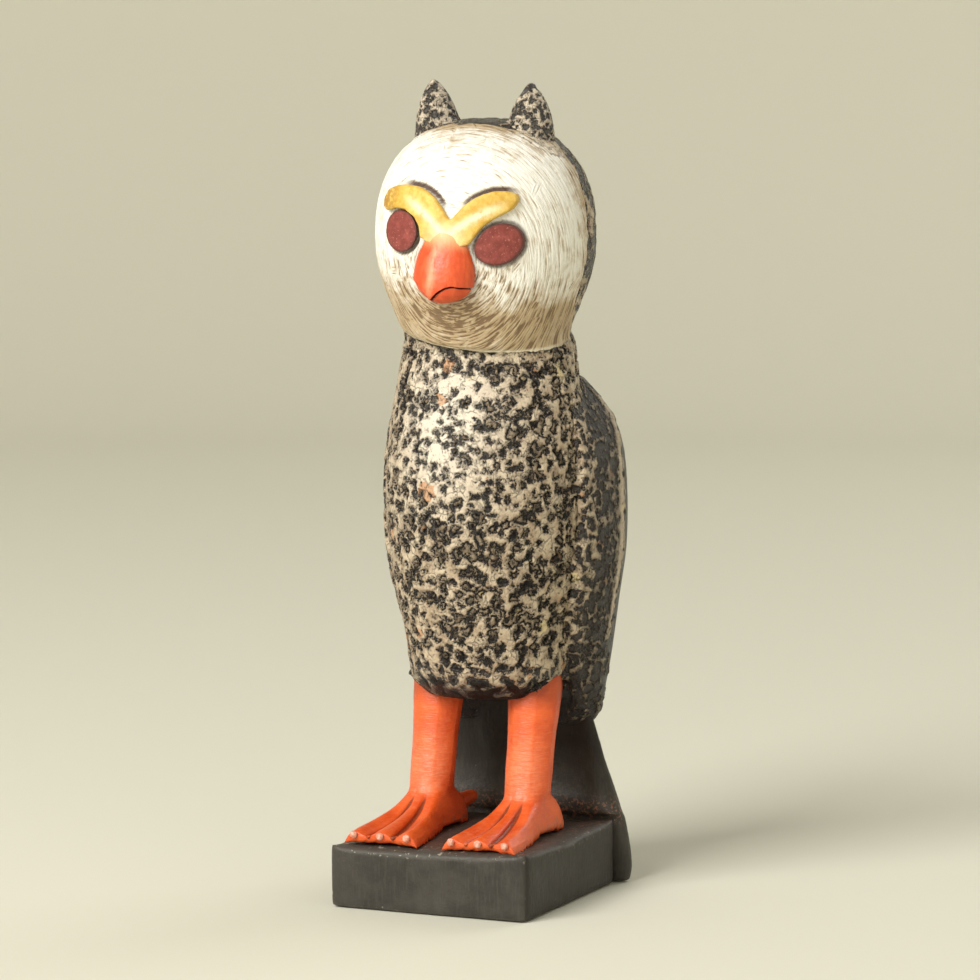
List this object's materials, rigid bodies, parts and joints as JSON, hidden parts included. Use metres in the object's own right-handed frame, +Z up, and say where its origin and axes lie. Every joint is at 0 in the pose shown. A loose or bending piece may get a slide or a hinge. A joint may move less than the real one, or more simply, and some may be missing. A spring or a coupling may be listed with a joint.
{
  "type": "owl figurine",
  "caption": "Carved wooden owl statuette with folded wings, bill and toed feet, standing on a rectangular plinth.",
  "frame": {"origin": "centre of the plinth's underside, on the surface that the figurine stands on", "axes": "+Z up, the owl faces -Y, and its left side is +X"},
  "size_m": [0.0894, 0.0952, 0.3003],
  "materials": {
    "black_paint": "satin black paint on wood",
    "mottled_paint": "pitted, black and cream mottled paint",
    "wing_paint": "pitted black paint with cream flecks",
    "orange_paint": "satin orange paint, worn",
    "claw_paint": "pale pink paint, worn",
    "head_paint": "matte black paint with cream flecks",
    "white_paint": "brushed off-white paint with brown streaks",
    "yellow_paint": "satin yellow paint, worn pale",
    "bill_paint": "satin orange-red paint",
    "maroon_paint": "satin maroon paint",
    "tuft_paint": "black and cream mottled paint",
    "bare_wood": "bare turned wood"
  },
  "bodies": {
    "root": {"plinth": "black_paint", "tail": "black_paint", "body": "mottled_paint", "right_wing": "wing_paint", "left_wing": "wing_paint", "right_leg": "orange_paint", "left_leg": "orange_paint", "right_foot": "orange_paint", "left_foot": "orange_paint", "right_hind_toe": "orange_paint", "left_hind_toe": "orange_paint", "right_claws": "claw_paint", "left_claws": "claw_paint", "head": "head_paint", "face_disc": "white_paint", "brow": "yellow_paint", "upper_bill": "bill_paint", "lower_bill": "bill_paint", "right_eye": "maroon_paint", "left_eye": "maroon_paint", "right_ear_tuft": "tuft_paint", "left_ear_tuft": "tuft_paint", "neck_dowel": "bare_wood", "right_leg_dowel": "bare_wood", "left_leg_dowel": "bare_wood", "tail_dowels": "bare_wood", "wing_dowels": "bare_wood"}
  },
  "joints": []
}
